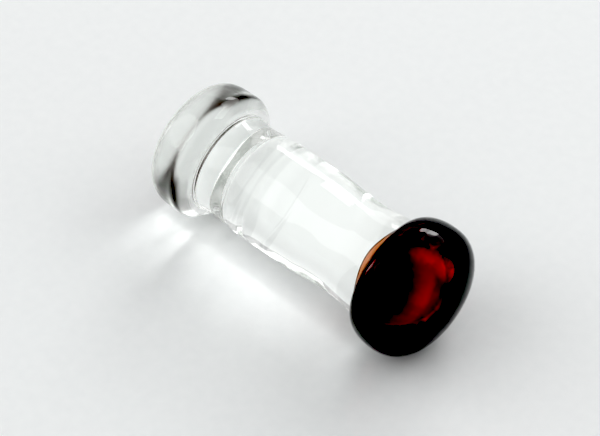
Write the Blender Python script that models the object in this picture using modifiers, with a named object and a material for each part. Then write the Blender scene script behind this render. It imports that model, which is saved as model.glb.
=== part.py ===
"""A solid glass plug lying on its side: a clear turned shaft with a coloured button fused over its nose.

The shaft is one piece of clear glass. From back to front it has a rounded flare, a shallow groove, a narrow
ring, a shoulder and a slightly waisted body that widens again where it meets the button. The button is a
thick lens of dark glass with a socket for the shaft's rounded nose.

Both pieces are turned about one axis. It lies along X with the coloured front at +X, and the flare's rim and
the button's rim have the same radius, so the plug rests on both of them on the plane z = 0.
"""
import math

import bpy

MM = 0.001
SIDES = 40                      # flat sides round the axis; one side of each rim faces straight down
FUSED_GAP = 0.3 * MM            # between the nose and the socket, which are melted together on the real piece

# Stations are distances along the axis from the back face.
LENGTH = 19.74 * MM
RIM_RADIUS = 4.10 * MM          # of the flare and of the button alike

# The flare's back is a superellipse: powers above 2 flatten its middle and tighten its edge.
BACK_FACE_RADIUS = 1.90 * MM    # flat middle of the back
BACK_POWER_ACROSS = 4.4
BACK_POWER_ALONG = 4.75
FLARE_RIM_STATION = 2.30 * MM
FLARE_FOOT_STATION = 3.14 * MM
FLARE_FOOT_RADIUS = 3.55 * MM
FLARE_BOW = 0.15 * MM

GROOVE_START_STATION = 3.32 * MM
GROOVE_END_STATION = 3.40 * MM
GROOVE_RADIUS = 3.19 * MM
NECK_STATION = 3.47 * MM
NECK_RADIUS = 3.09 * MM
RING_START_STATION = 4.67 * MM
RING_EDGE_RADIUS = 3.05 * MM
RING_CREST_RADIUS = 3.14 * MM
CREASE_STATION = 5.60 * MM
CREASE_RADIUS = 2.97 * MM

SHOULDER_STATION = 6.49 * MM
SHOULDER_RADIUS = 3.20 * MM
BODY_STATION = 9.07 * MM
BODY_RADIUS = 3.16 * MM
WAIST_STATION = 13.17 * MM
WAIST_RADIUS = 2.93 * MM

BUTTON_LIP_STATION = 15.64 * MM
BUTTON_RIM_STATION = 17.24 * MM
BUTTON_FRONT_POWER = 2.5

SEAT_STATION = BUTTON_LIP_STATION - FUSED_GAP
SEAT_RADIUS = 3.12 * MM
NOSE_RADIUS = 2.76 * MM
NOSE_LENGTH = 2.96 * MM
NOSE_POWER = 2.3

AXIS_HEIGHT = RIM_RADIUS * math.cos(math.pi / SIDES)

CLEAR_GLASS = (0.90, 0.93, 0.91, 1.0)
COLOURED_GLASS = (0.20, 0.012, 0.004, 1.0)


def back_curve(steps):
    """Superellipse from just outside the flat back face out to the flare's rim, closer spaced near the rim."""
    first_turn = 0.25
    points = []
    for i in range(steps + 1):
        share = 1.0 - (1.0 - i / steps) ** 2
        turn = first_turn + (0.5 * math.pi - first_turn) * share
        station = FLARE_RIM_STATION * (1.0 - max(math.cos(turn), 0.0) ** (2.0 / BACK_POWER_ALONG))
        radius = RIM_RADIUS * math.sin(turn) ** (2.0 / BACK_POWER_ACROSS)
        points.append((station, radius))
    return points


def rising_arc(start, end, steps):
    """Quarter ellipse that leaves start square to the axis and reaches end along the axis."""
    turns = [0.5 * math.pi * i / steps for i in range(steps + 1)]
    return [(start[0] + (end[0] - start[0]) * (1.0 - math.cos(turn)),
             start[1] + (end[1] - start[1]) * math.sin(turn)) for turn in turns]


def falling_curve(start, end, power, steps):
    """Quarter superellipse that leaves start along the axis and reaches end square to the axis."""
    points = []
    for i in range(steps + 1):
        turn = 0.5 * math.pi * i / steps
        station = start[0] + (end[0] - start[0]) * math.sin(turn) ** (2.0 / power)
        radius = end[1] + (start[1] - end[1]) * math.cos(turn) ** (2.0 / power)
        points.append((station, radius))
    return points


def eased_line(start, end, steps):
    """Half a cosine wave from start to end, level with the axis at both."""
    points = []
    for i in range(steps + 1):
        share = i / steps
        blend = 0.5 - 0.5 * math.cos(math.pi * share)
        points.append((start[0] + (end[0] - start[0]) * share, start[1] + (end[1] - start[1]) * blend))
    return points


def bowed_line(start, end, bow, steps):
    """Straight line from start to end, bowed away from the axis by half a sine wave of height bow."""
    points = []
    for i in range(steps + 1):
        share = i / steps
        radius = start[1] + (end[1] - start[1]) * share + bow * math.sin(math.pi * share)
        points.append((start[0] + (end[0] - start[0]) * share, radius))
    return points


def joined(*stretches):
    """Chain the stretches into one outline, and drop a point that repeats the one before it."""
    outline = []
    for point in [point for stretch in stretches for point in stretch]:
        if not outline or math.dist(point, outline[-1]) > 0.01 * MM:
            outline.append(point)
    return outline


def shaft_outline():
    """Clear glass from the centre of the back face to the tip of the nose."""
    flare_rim = (FLARE_RIM_STATION, RIM_RADIUS)
    flare_foot = (FLARE_FOOT_STATION, FLARE_FOOT_RADIUS)
    groove = [(GROOVE_START_STATION, GROOVE_RADIUS), (GROOVE_END_STATION, GROOVE_RADIUS)]
    neck = (NECK_STATION, NECK_RADIUS)
    ring_start = (RING_START_STATION, RING_EDGE_RADIUS)
    crease = (CREASE_STATION, CREASE_RADIUS)
    shoulder = (SHOULDER_STATION, SHOULDER_RADIUS)
    body = (BODY_STATION, BODY_RADIUS)
    waist = (WAIST_STATION, WAIST_RADIUS)
    seat = (SEAT_STATION, SEAT_RADIUS)
    nose_root = (SEAT_STATION, NOSE_RADIUS)
    nose_tip = (SEAT_STATION + NOSE_LENGTH, 0.0)
    ring_bow = RING_CREST_RADIUS - RING_EDGE_RADIUS
    return joined(
        [(0.0, 0.0), (0.0, BACK_FACE_RADIUS)],
        back_curve(8),
        bowed_line(flare_rim, flare_foot, FLARE_BOW, 4),
        groove,
        bowed_line(neck, ring_start, -0.03 * MM, 3),
        bowed_line(ring_start, crease, ring_bow, 4),
        rising_arc(crease, shoulder, 3),
        eased_line(shoulder, body, 2),
        eased_line(body, waist, 4),
        eased_line(waist, seat, 4),
        falling_curve(nose_root, nose_tip, NOSE_POWER, 8),
    )


def button_outline():
    """Coloured glass from the bottom of the socket, round the lip and the rim, to the middle of the front."""
    socket_floor = (SEAT_STATION + NOSE_LENGTH + FUSED_GAP, 0.0)
    socket_mouth = (BUTTON_LIP_STATION, NOSE_RADIUS + FUSED_GAP)
    lip = (BUTTON_LIP_STATION, SEAT_RADIUS)
    rim = (BUTTON_RIM_STATION, RIM_RADIUS)
    front = (LENGTH, 0.0)
    return joined(
        reversed(falling_curve(socket_mouth, socket_floor, NOSE_POWER, 8)),
        rising_arc(lip, rim, 6),
        falling_curve(rim, front, BUTTON_FRONT_POWER, 10),
    )


def glass(name, colour):
    """Smooth transmitting glass of the given colour."""
    material = bpy.data.materials.new(name)
    material.use_nodes = True
    shader = material.node_tree.nodes["Principled BSDF"]
    shader.inputs["Base Color"].default_value = colour
    shader.inputs["Roughness"].default_value = 0.02
    shader.inputs["Metallic"].default_value = 0.0
    shader.inputs["IOR"].default_value = 1.5
    shader.inputs["Transmission Weight"].default_value = 1.0
    material.diffuse_color = colour
    return material


def turned_piece(name, outline, material, axis, collection):
    """Turn an outline about the axis empty's own Z, with a flat side, not a corner, facing down."""
    points = [(radius, 0.0, station) for station, radius in reversed(outline)]
    edges = [(i, i + 1) for i in range(len(points) - 1)]
    mesh = bpy.data.meshes.new(name)
    mesh.from_pydata(points, edges, [])
    mesh.materials.append(material)
    piece = bpy.data.objects.new(name, mesh)
    piece.parent = axis
    piece.rotation_euler = (0.0, 0.0, math.pi / SIDES)
    collection.objects.link(piece)
    screw = piece.modifiers.new("turn", "SCREW")
    screw.axis = "Z"
    screw.angle = 2.0 * math.pi
    screw.steps = SIDES
    screw.render_steps = SIDES
    screw.use_merge_vertices = True
    screw.merge_threshold = 0.001 * MM
    screw.use_smooth_shade = True
    return piece


def build():
    for item in list(bpy.data.objects):
        bpy.data.objects.remove(item, do_unlink=True)
    collection = bpy.data.collections.new("glass_plug")
    bpy.context.scene.collection.children.link(collection)

    axis = bpy.data.objects.new("turning_axis", None)
    axis.location = (-0.5 * LENGTH, 0.0, AXIS_HEIGHT)
    axis.rotation_euler = (0.0, 0.5 * math.pi, 0.0)
    collection.objects.link(axis)

    turned_piece("clear_shaft", shaft_outline(), glass("clear_glass", CLEAR_GLASS), axis, collection)
    turned_piece("colour_front", button_outline(), glass("coloured_glass", COLOURED_GLASS), axis, collection)


build()
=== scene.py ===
import math

import bpy
import numpy as np
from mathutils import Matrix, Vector


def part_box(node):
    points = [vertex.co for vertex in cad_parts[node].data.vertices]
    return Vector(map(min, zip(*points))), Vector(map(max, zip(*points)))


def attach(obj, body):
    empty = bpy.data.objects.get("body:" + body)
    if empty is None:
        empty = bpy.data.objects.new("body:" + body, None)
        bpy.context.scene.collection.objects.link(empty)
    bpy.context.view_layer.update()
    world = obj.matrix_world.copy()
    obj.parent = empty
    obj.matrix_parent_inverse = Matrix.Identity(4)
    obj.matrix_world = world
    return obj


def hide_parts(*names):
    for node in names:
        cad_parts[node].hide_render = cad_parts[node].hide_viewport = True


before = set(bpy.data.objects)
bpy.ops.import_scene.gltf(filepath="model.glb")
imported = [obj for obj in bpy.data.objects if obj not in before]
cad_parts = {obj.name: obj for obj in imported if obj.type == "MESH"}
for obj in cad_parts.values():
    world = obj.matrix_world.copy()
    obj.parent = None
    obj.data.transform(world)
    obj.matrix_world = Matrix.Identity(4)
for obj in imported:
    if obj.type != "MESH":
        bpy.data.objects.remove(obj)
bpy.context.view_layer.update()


# ---------------------------------------------------------------------------------------------------------
# How the plug lies. It rests on the rim of its clear flare and the rim of its coloured button, with its
# turning axis along X and the button at +X. It is seen from close by, from above the coloured front.
# Stations, used from here on, are millimetres along the axis from the back of the flare.
MM = 0.001
shaft_low, shaft_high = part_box("clear_shaft")
BACK_FACE_X = shaft_low.x
AXIS_HEIGHT = 0.5 * (shaft_low.z + shaft_high.z)
RIM_RADIUS = 0.5 * (shaft_high.z - shaft_low.z) / MM

LOOKED_AT_STATION = 9.59
LOOKED_AT_ASIDE = Vector((-0.58, -0.035)) * MM
VIEW_AZIMUTH = math.radians(42.35)
VIEW_ELEVATION = math.radians(48.79)
VIEW_DISTANCE = 110.0 * MM
LENS_LENGTH = 115.4
SENSOR_WIDTH = 36.0


def camera_axes(azimuth, elevation):
    """Unit vectors to the right of, above and back towards a camera at this azimuth and elevation."""
    right = Vector((math.cos(azimuth), math.sin(azimuth), 0.0))
    back = Vector((math.sin(azimuth) * math.cos(elevation),
                   -math.cos(azimuth) * math.cos(elevation),
                   math.sin(elevation)))
    return right, back.cross(right), back


view_right, view_up, view_back = camera_axes(VIEW_AZIMUTH, VIEW_ELEVATION)
looked_at = Vector((BACK_FACE_X + LOOKED_AT_STATION * MM, 0.0, AXIS_HEIGHT))
looked_at += view_right * LOOKED_AT_ASIDE.x + view_up * LOOKED_AT_ASIDE.y
camera_data = bpy.data.cameras.new("camera")
camera_data.lens = LENS_LENGTH
camera_data.sensor_width = SENSOR_WIDTH
camera_data.clip_start = 1.0 * MM
camera_data.clip_end = 5.0
camera = bpy.data.objects.new("camera", camera_data)
camera.location = looked_at + view_back * VIEW_DISTANCE
camera.rotation_mode = "QUATERNION"
camera.rotation_quaternion = (-view_back).to_track_quat("-Z", "Y")
bpy.context.scene.collection.objects.link(camera)
bpy.context.scene.camera = camera


# ---------------------------------------------------------------------------------------------------------
# The clear shaft is one solid rod of clear glass, shaped in a flame: the back was pressed into a thick flare,
# a tool marked a groove and a crease either side of a narrow ring, and the long body was drawn to a slight
# waist. Its front ends in a blunt nose, which is buried in the coloured button.
AROUND = 176
ROW_SPACING = 0.06
FLARE_RIM = 2.30
FLARE_POWER_ACROSS = 4.4
FLARE_POWER_ALONG = 4.75
# From here on a pair is a point of the outline: its station and its radius.
FLARE_FOOT = (3.14, 3.55)
FLARE_BOW = 0.15
NECK_EDGE = (3.39, 3.28)
NECK = (3.47, 3.10)
NECK_BOW = -0.03
RING_START = (4.67, 3.05)
RING_END = (5.63, 3.05)
RING_BOW = 0.03
SHOULDER = (6.49, 3.17)
BODY = (9.07, 3.16)
WAIST = (13.17, 2.93)
SEAT = (15.64, 3.12)
NOSE_ROOT = (15.80, 2.84)
NOSE_TIP = 18.45
NOSE_POWER = 2.3
RIDGE_FADE_AT_ROOT = 0.3
RIDGE_FADE_AT_TIP = 0.8
GROOVE_STATION, GROOVE_DEPTH, GROOVE_WIDTH = 3.32, 0.17, 0.08
CREASE_STATION, CREASE_DEPTH, CREASE_WIDTH = 5.59, 0.10, 0.09
CREASE_TURN = math.radians(123.0)
CREASE_TURN_POWER = 5
HAND_WAVER = 0.004
WAVER_FADE = 1.0
PRESSED_BACK = (1.2, 2.4)
PRESSED_ROUGHNESS = 0.17
SMEAR_ROUGHNESS = (0.02, 0.06)
GLASS_INDEX = 1.5
CLEAR_GLASS_SOAKS = (0.85, 0.93, 0.84, 1.0), 24.0

turns = np.arange(AROUND) * (2.0 * np.pi / AROUND)


def flare_back(steps):
    """Superellipse from the middle of the flare's back out to its rim: the radius is a power of the sine
    of a turning angle and the distance behind the rim a power of its cosine."""
    turn = np.linspace(0.0, 0.5 * np.pi, steps)
    radius = RIM_RADIUS * np.sin(turn) ** (2.0 / FLARE_POWER_ACROSS)
    behind = FLARE_RIM * np.clip(np.cos(turn), 0.0, 1.0) ** (2.0 / FLARE_POWER_ALONG)
    return np.stack([FLARE_RIM - behind, radius], axis=1)


def bowed_side(start, end, bow, steps):
    """Straight line between two (station, radius) points with half a sine wave of height bow added."""
    share = np.linspace(0.0, 1.0, steps)
    station = start[0] + (end[0] - start[0]) * share
    radius = start[1] + (end[1] - start[1]) * share + bow * np.sin(np.pi * share)
    return np.stack([station, radius], axis=1)


def drawn_taper(start, end, steps):
    """Half a cosine wave between two (station, radius) points, level with the axis at both."""
    share = np.linspace(0.0, 1.0, steps)
    blend = 0.5 - 0.5 * np.cos(np.pi * share)
    station = start[0] + (end[0] - start[0]) * share
    return np.stack([station, start[1] + (end[1] - start[1]) * blend], axis=1)


def rounded_rise(start, end, steps):
    """Quarter ellipse that leaves start square to the axis and reaches end along the axis."""
    turn = np.linspace(0.0, 0.5 * np.pi, steps)
    station = start[0] + (end[0] - start[0]) * (1.0 - np.cos(turn))
    return np.stack([station, start[1] + (end[1] - start[1]) * np.sin(turn)], axis=1)


def blunt_dome(start, tip, power, steps):
    """Quarter superellipse that leaves start along the axis and meets the axis squarely at station tip."""
    turn = np.linspace(0.0, 0.5 * np.pi, steps)
    station = start[0] + (tip - start[0]) * np.sin(turn) ** (2.0 / power)
    radius = start[1] * np.clip(np.cos(turn), 0.0, 1.0) ** (2.0 / power)
    return np.stack([station, radius], axis=1)


def even_rows(points, blur):
    """Resample an outline at even steps along its length, then average each point with its neighbours blur
    times, with both ends held."""
    travel = np.concatenate([[0.0], np.cumsum(np.hypot(*np.diff(points, axis=0).T))])
    even = np.linspace(0.0, travel[-1], int(travel[-1] / ROW_SPACING) + 1)
    rows = np.stack([np.interp(even, travel, points[:, 0]), np.interp(even, travel, points[:, 1])], axis=1)
    for _ in range(blur):
        rows[1:-1] = 0.25 * rows[:-2] + 0.5 * rows[1:-1] + 0.25 * rows[2:]
    return rows


def tool_mark(station, centre, depth, width):
    """Bell-shaped groove of this depth, narrowing to nothing about two widths either side of its centre."""
    return depth * np.exp(-((station - centre) / width) ** 2)


def hand_waver(station, turn):
    """Unevenness left by turning in the hand: a sum of four slow waves that wind along and round the axis,
    as a depth between nothing and HAND_WAVER below the true surface. The body's ends are left true."""
    waves = np.sin(1.9 * station + 2.0 * turn)
    waves = waves + 0.7 * np.sin(3.3 * station - 3.0 * turn + 1.3)
    waves = waves + 0.6 * np.sin(5.1 * station + turn + 0.4)
    waves = waves + 0.5 * np.sin(0.8 * station + 4.0 * turn + 2.2)
    depth = HAND_WAVER * np.clip(0.5 + 0.5 * waves / 2.8, 0.0, 1.0)
    past_neck = np.clip((station - NECK[0]) / WAVER_FADE, 0.0, 1.0)
    before_seat = np.clip((SEAT[0] - station) / WAVER_FADE, 0.0, 1.0)
    return depth * past_neck * before_seat


def glass_solid(name, station, radius):
    """Closed solid from a grid of stations and radii, one row round the axis for each point of the outline;
    the first and last rows sit on the axis and become the two poles."""
    grid = np.empty(station[1:-1].shape + (3,))
    grid[..., 0] = BACK_FACE_X + station[1:-1] * MM
    grid[..., 1] = radius[1:-1] * MM * np.cos(turns)
    grid[..., 2] = AXIS_HEIGHT + radius[1:-1] * MM * np.sin(turns)
    poles = np.zeros((2, 3))
    poles[:, 0] = BACK_FACE_X + station[[0, -1], 0] * MM
    poles[:, 2] = AXIS_HEIGHT
    points = np.concatenate([grid.reshape(-1, 3), poles])
    here = np.arange(len(points) - 2).reshape(-1, AROUND)
    beside = np.roll(here, -1, axis=1)
    quads = np.stack([here[:-1], beside[:-1], beside[1:], here[1:]], axis=-1).reshape(-1, 4)
    first_pole = np.full(AROUND, len(points) - 2)
    last_pole = np.full(AROUND, len(points) - 1)
    first_fan = np.stack([first_pole, beside[0], here[0]], axis=-1)
    last_fan = np.stack([last_pole, here[-1], beside[-1]], axis=-1)
    mesh = bpy.data.meshes.new(name)
    mesh.from_pydata(points.tolist(), [], quads.tolist() + first_fan.tolist() + last_fan.tolist())
    mesh.shade_smooth()
    solid = bpy.data.objects.new(name, mesh)
    bpy.context.scene.collection.objects.link(solid)
    return solid


# Each streak is a ridge on the nose: its start and end in (y, z) from the axis, its width and its height.
GLOW_STREAKS = (
    ((-0.2, 2.4), (0.6, 1.7), 0.58, 1.30),
    ((-0.3, 2.2), (-1.2, 1.3), 0.70, 1.14),
    ((-0.9, 1.5), (-2.0, 0.5), 0.85, 0.94),
    ((-0.7, 1.6), (-1.7, 0.6), 1.25, 0.76),
)


def melted_ridges(y, z):
    """Height of the ridges that the nose raised into the soft coloured glass: each streak is a bell of the
    distance from its own line, and the tallest of the bells is taken at every point."""
    height = np.zeros_like(y)
    for start, end, width, tall in GLOW_STREAKS:
        run = np.array(end) - np.array(start)
        share = np.clip(((y - start[0]) * run[0] + (z - start[1]) * run[1]) / run.dot(run), 0.0, 1.0)
        apart = np.hypot(y - start[0] - share * run[0], z - start[1] - share * run[1])
        height = np.maximum(height, tall * np.exp(-(apart / width) ** 2))
    return height


def nose_rows():
    """Grids of station and radius of the nose from its root to its tip: a blunt dome, pushed out square to
    its own surface by the ridges, which fade out towards the root and the tip."""
    dome = even_rows(blunt_dome(NOSE_ROOT, NOSE_TIP, NOSE_POWER, 90), 1)
    run = np.gradient(dome, axis=0)
    run /= np.hypot(run[:, :1], run[:, 1:])
    ridge = melted_ridges(dome[:, 1:] * np.cos(turns), dome[:, 1:] * np.sin(turns))
    ridge *= np.clip((NOSE_ROOT[1] - dome[:, 1:]) / RIDGE_FADE_AT_ROOT, 0.0, 1.0)
    radius = dome[:, 1:] + ridge * run[:, :1] * np.clip(dome[:, 1:] / RIDGE_FADE_AT_TIP, 0.0, 1.0)
    return dome[:, :1] - ridge * run[:, 1:], radius


shaft_outline = even_rows(np.concatenate([
    flare_back(140),
    bowed_side((FLARE_RIM, RIM_RADIUS), FLARE_FOOT, FLARE_BOW, 40)[1:],
    [NECK_EDGE],
    bowed_side(NECK, RING_START, NECK_BOW, 20),
    bowed_side(RING_START, RING_END, RING_BOW, 30)[1:],
    rounded_rise(RING_END, SHOULDER, 20)[1:],
    drawn_taper(SHOULDER, BODY, 20)[1:],
    drawn_taper(BODY, WAIST, 40)[1:],
    drawn_taper(WAIST, SEAT, 40)[1:],
    [NOSE_ROOT],
]), 2)
shaft_outline[1:, 1] -= tool_mark(shaft_outline[1:, 0], GROOVE_STATION, GROOVE_DEPTH, GROOVE_WIDTH)

body_station = np.repeat(shaft_outline[:, :1], AROUND, axis=1)
body_radius = np.repeat(shaft_outline[:, 1:], AROUND, axis=1)
body_radius = body_radius - hand_waver(body_station, turns)
crease_depth = CREASE_DEPTH * (0.5 + 0.5 * np.cos(turns - CREASE_TURN)) ** CREASE_TURN_POWER
body_radius = body_radius - tool_mark(body_station, CREASE_STATION, crease_depth, CREASE_WIDTH)
nose_station, nose_radius = nose_rows()
clear_shaft = glass_solid("clear_glass_shaft",
                          np.concatenate([body_station, nose_station[1:]]),
                          np.concatenate([body_radius, nose_radius[1:]]))


def glass_material(name, absorbed, density, ripple_scale, ripple_height):
    """Solid glass: full transmission, light soaked up along its path inside the solid, long shallow ripples
    stretched along the axis, faint smears that roughen the surface a little, and the duller patch that
    the press left on the back of the flare, which fades out at the flare's rim."""
    material = bpy.data.materials.new(name)
    material.use_nodes = True
    nodes, links = material.node_tree.nodes, material.node_tree.links
    shader = nodes["Principled BSDF"]
    shader.inputs["Base Color"].default_value = (1.0, 1.0, 1.0, 1.0)
    shader.inputs["IOR"].default_value = GLASS_INDEX
    shader.inputs["Transmission Weight"].default_value = 1.0
    soaked = nodes.new("ShaderNodeVolumeAbsorption")
    soaked.inputs["Color"].default_value = absorbed
    soaked.inputs["Density"].default_value = density
    links.new(soaked.outputs["Volume"], nodes["Material Output"].inputs["Volume"])
    place = nodes.new("ShaderNodeTexCoord")
    stretch = nodes.new("ShaderNodeMapping")
    stretch.inputs["Scale"].default_value = (0.45, 1.0, 1.0)
    links.new(place.outputs["Object"], stretch.inputs["Vector"])
    ripples = nodes.new("ShaderNodeTexNoise")
    ripples.inputs["Scale"].default_value = ripple_scale
    ripples.inputs["Detail"].default_value = 2.0
    links.new(stretch.outputs["Vector"], ripples.inputs["Vector"])
    bump = nodes.new("ShaderNodeBump")
    bump.inputs["Strength"].default_value = 1.0
    bump.inputs["Distance"].default_value = ripple_height
    links.new(ripples.outputs["Fac"], bump.inputs["Height"])
    links.new(bump.outputs["Normal"], shader.inputs["Normal"])
    smears = nodes.new("ShaderNodeTexNoise")
    smears.inputs["Scale"].default_value = 900.0
    smears.inputs["Detail"].default_value = 4.0
    links.new(place.outputs["Object"], smears.inputs["Vector"])
    smear_range = nodes.new("ShaderNodeMapRange")
    smear_range.inputs["From Min"].default_value = 0.50
    smear_range.inputs["From Max"].default_value = 0.75
    smear_range.inputs["To Min"].default_value = SMEAR_ROUGHNESS[0]
    smear_range.inputs["To Max"].default_value = SMEAR_ROUGHNESS[1]
    links.new(smears.outputs["Fac"], smear_range.inputs["Value"])
    along = nodes.new("ShaderNodeSeparateXYZ")
    links.new(place.outputs["Object"], along.inputs["Vector"])
    pressed = nodes.new("ShaderNodeMapRange")
    pressed.inputs["From Min"].default_value = BACK_FACE_X + PRESSED_BACK[0] * MM
    pressed.inputs["From Max"].default_value = BACK_FACE_X + PRESSED_BACK[1] * MM
    pressed.inputs["To Min"].default_value = PRESSED_ROUGHNESS
    pressed.inputs["To Max"].default_value = 0.0
    links.new(along.outputs["X"], pressed.inputs["Value"])
    roughness = nodes.new("ShaderNodeMath")
    links.new(smear_range.outputs["Result"], roughness.inputs[0])
    links.new(pressed.outputs["Result"], roughness.inputs[1])
    links.new(roughness.outputs["Value"], shader.inputs["Roughness"])
    return material


clear_shaft.data.materials.append(
    glass_material("clear glass", *CLEAR_GLASS_SOAKS, 400.0, 0.002 * MM))
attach(clear_shaft, "root")
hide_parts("clear_shaft")


# ---------------------------------------------------------------------------------------------------------
# The coloured button is a thick lens of dark red glass, gathered hot over the shaft's nose and pressed to
# the width of the flare. Its thin lip laps further along the shaft on one side. Light comes through only in
# the middle, where the nose stands close under the front and its melted ridges leave the glass thinnest.
BUTTON_RIM = 17.24
BUTTON_FRONT = 19.74
BUTTON_FRONT_POWER = 2.5
LIP_STATION = 15.62
LIP_LAP = 0.36
LIP_LAP_POWER = 14
LIP_LAP_ROWS = 12
LIP_LAP_TURN = math.radians(121.0)
LIP_SKIN = 0.13
LIP_FOOT = 0.20
FUSED_DEPTH = 0.01
FUSED_STEP = 0.005
RED_GLASS_SOAKS = (0.80, 0.33, 0.02, 1.0), 9500.0


def button_lip():
    """Station of the lip at each turn round the axis: furthest back at the lapped side, by half a cosine
    wave raised to a high power, so that the lap is narrow."""
    bell = 0.5 + 0.5 * np.cos(turns - LIP_LAP_TURN)
    return LIP_STATION - LIP_LAP * bell ** LIP_LAP_POWER


def lap_rows(edge, end, raised):
    """Grids of station and radius of the lip's skin from its edge to station end, standing this far above
    the shaft's own outline."""
    share = np.linspace(0.0, 1.0, LIP_LAP_ROWS)[:, None]
    station = edge + (end - edge) * share
    return station, np.interp(station, shaft_outline[:, 0], shaft_outline[:, 1]) + raised


lip = button_lip()
socket_lap_station, socket_lap_radius = lap_rows(lip, NOSE_ROOT[0], -FUSED_DEPTH)
socket_station = np.concatenate([socket_lap_station, nose_station[1:] - FUSED_STEP])
socket_radius = np.concatenate([socket_lap_radius, np.maximum(nose_radius[1:] - FUSED_STEP, 0.0)])

lap_station, lap_radius = lap_rows(lip, SEAT[0], LIP_SKIN)
lap_share = np.linspace(0.0, 1.0, LIP_LAP_ROWS)[:, None] ** 2
lap_radius = lap_radius * (1.0 - lap_share) + (SEAT[1] + LIP_FOOT) * lap_share
button_outline = even_rows(np.concatenate([
    rounded_rise((SEAT[0], SEAT[1] + LIP_FOOT), (BUTTON_RIM, RIM_RADIUS), 60),
    blunt_dome((BUTTON_RIM, RIM_RADIUS), BUTTON_FRONT, BUTTON_FRONT_POWER, 90)[1:],
]), 1)
outer_station = np.concatenate([lap_station, np.repeat(button_outline[1:, :1], AROUND, axis=1)])
outer_radius = np.concatenate([lap_radius, np.repeat(button_outline[1:, 1:], AROUND, axis=1)])
coloured_button = glass_solid("coloured_glass_button",
                              np.concatenate([socket_station[::-1], outer_station]),
                              np.concatenate([socket_radius[::-1], outer_radius]))
coloured_button.data.materials.append(
    glass_material("dark red glass", *RED_GLASS_SOAKS, 500.0, 0.002 * MM))
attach(coloured_button, "root")
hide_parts("colour_front")


# ---------------------------------------------------------------------------------------------------------
# The sheet of paper under the plug: matt, nearly white, with a fine felted grain.
PAPER_HALF_WIDTH = 0.6
PAPER_SHADES = ((0.832, 0.848, 0.850, 1.0), (0.878, 0.892, 0.890, 1.0))
PAPER_FELT = 0.03 * MM


def paper_material():
    """Matt white with a fine mottle in its colour and a shallow felt of short fibres in its height."""
    material = bpy.data.materials.new("white paper")
    material.use_nodes = True
    nodes, links = material.node_tree.nodes, material.node_tree.links
    shader = nodes["Principled BSDF"]
    shader.inputs["Roughness"].default_value = 0.9
    shader.inputs["Specular IOR Level"].default_value = 0.0
    place = nodes.new("ShaderNodeTexCoord")
    mottle = nodes.new("ShaderNodeTexNoise")
    mottle.inputs["Scale"].default_value = 1500.0
    mottle.inputs["Detail"].default_value = 6.0
    links.new(place.outputs["Object"], mottle.inputs["Vector"])
    shades = nodes.new("ShaderNodeMix")
    shades.data_type = "RGBA"
    shades.inputs["A"].default_value = PAPER_SHADES[0]
    shades.inputs["B"].default_value = PAPER_SHADES[1]
    links.new(mottle.outputs["Fac"], shades.inputs["Factor"])
    links.new(shades.outputs["Result"], shader.inputs["Base Color"])
    bump = nodes.new("ShaderNodeBump")
    bump.inputs["Strength"].default_value = 0.3
    bump.inputs["Distance"].default_value = PAPER_FELT
    links.new(mottle.outputs["Fac"], bump.inputs["Height"])
    links.new(bump.outputs["Normal"], shader.inputs["Normal"])
    return material


paper_mesh = bpy.data.meshes.new("paper")
paper_corners = np.array([(-1, -1, 0), (1, -1, 0), (1, 1, 0), (-1, 1, 0)]) * PAPER_HALF_WIDTH
paper_mesh.from_pydata(paper_corners.tolist(), [], [(0, 1, 2, 3)])
paper_mesh.materials.append(paper_material())
paper = bpy.data.objects.new("paper", paper_mesh)
bpy.context.scene.collection.objects.link(paper)


# ---------------------------------------------------------------------------------------------------------
# Soft studio light. The plug lies in a bright tent, with a wide window behind it, others at the back right
# and low at the back left, and a broad soft panel at the front left that fills the shaft with light. Two
# small panes give the button its highlights.
LIGHT_DISTANCE = 0.4
# Each panel has its azimuth from +X, its elevation, its width and height in metres and its power in watts.
SOFT_PANELS = {
    "back window": (90.0, 38.0, 0.30, 0.22, 0.46),
    "right window": (45.0, 42.0, 0.24, 0.20, 0.18),
    "low window": (135.0, 18.0, 0.24, 0.22, 0.14),
    "front left": (225.0, 44.0, 0.34, 0.30, 0.40),
    "upper highlight": (112.0, 27.0, 0.14, 0.07, 0.145),
    "side highlight": (194.0, 10.0, 0.08, 0.14, 0.11),
}
TENT_GREY = 0.56
BLACK_LEVEL = 0.15


def soft_panel(name, azimuth, elevation, width, height, power):
    """Rectangular area light in this direction from the plug, at the common distance, facing it."""
    data = bpy.data.lights.new(name, "AREA")
    data.shape = "RECTANGLE"
    data.size = width
    data.size_y = height
    data.energy = power
    panel = bpy.data.objects.new(name, data)
    around, rise = math.radians(azimuth), math.radians(elevation)
    outward = Vector((math.cos(around) * math.cos(rise), math.sin(around) * math.cos(rise), math.sin(rise)))
    panel.location = outward * LIGHT_DISTANCE
    panel.rotation_mode = "QUATERNION"
    panel.rotation_quaternion = outward.to_track_quat("Z", "Y")
    panel.visible_camera = False
    bpy.context.scene.collection.objects.link(panel)


for panel_name, panel_values in SOFT_PANELS.items():
    soft_panel(panel_name, *panel_values)

tent = bpy.data.worlds.new("tent")
tent.use_nodes = True
tent.node_tree.nodes["Background"].inputs["Color"].default_value = (TENT_GREY, TENT_GREY, TENT_GREY, 1.0)
bpy.context.scene.world = tent

scene = bpy.context.scene
scene.view_settings.view_transform = "Standard"
scene.view_settings.use_curve_mapping = True
scene.view_settings.curve_mapping.black_level = (BLACK_LEVEL, BLACK_LEVEL, BLACK_LEVEL)
scene.cycles.max_bounces = 24
scene.cycles.transmission_bounces = 24
scene.cycles.glossy_bounces = 16
scene.cycles.diffuse_bounces = 4
scene.cycles.blur_glossy = 0.0
scene.cycles.sample_clamp_indirect = 0.0
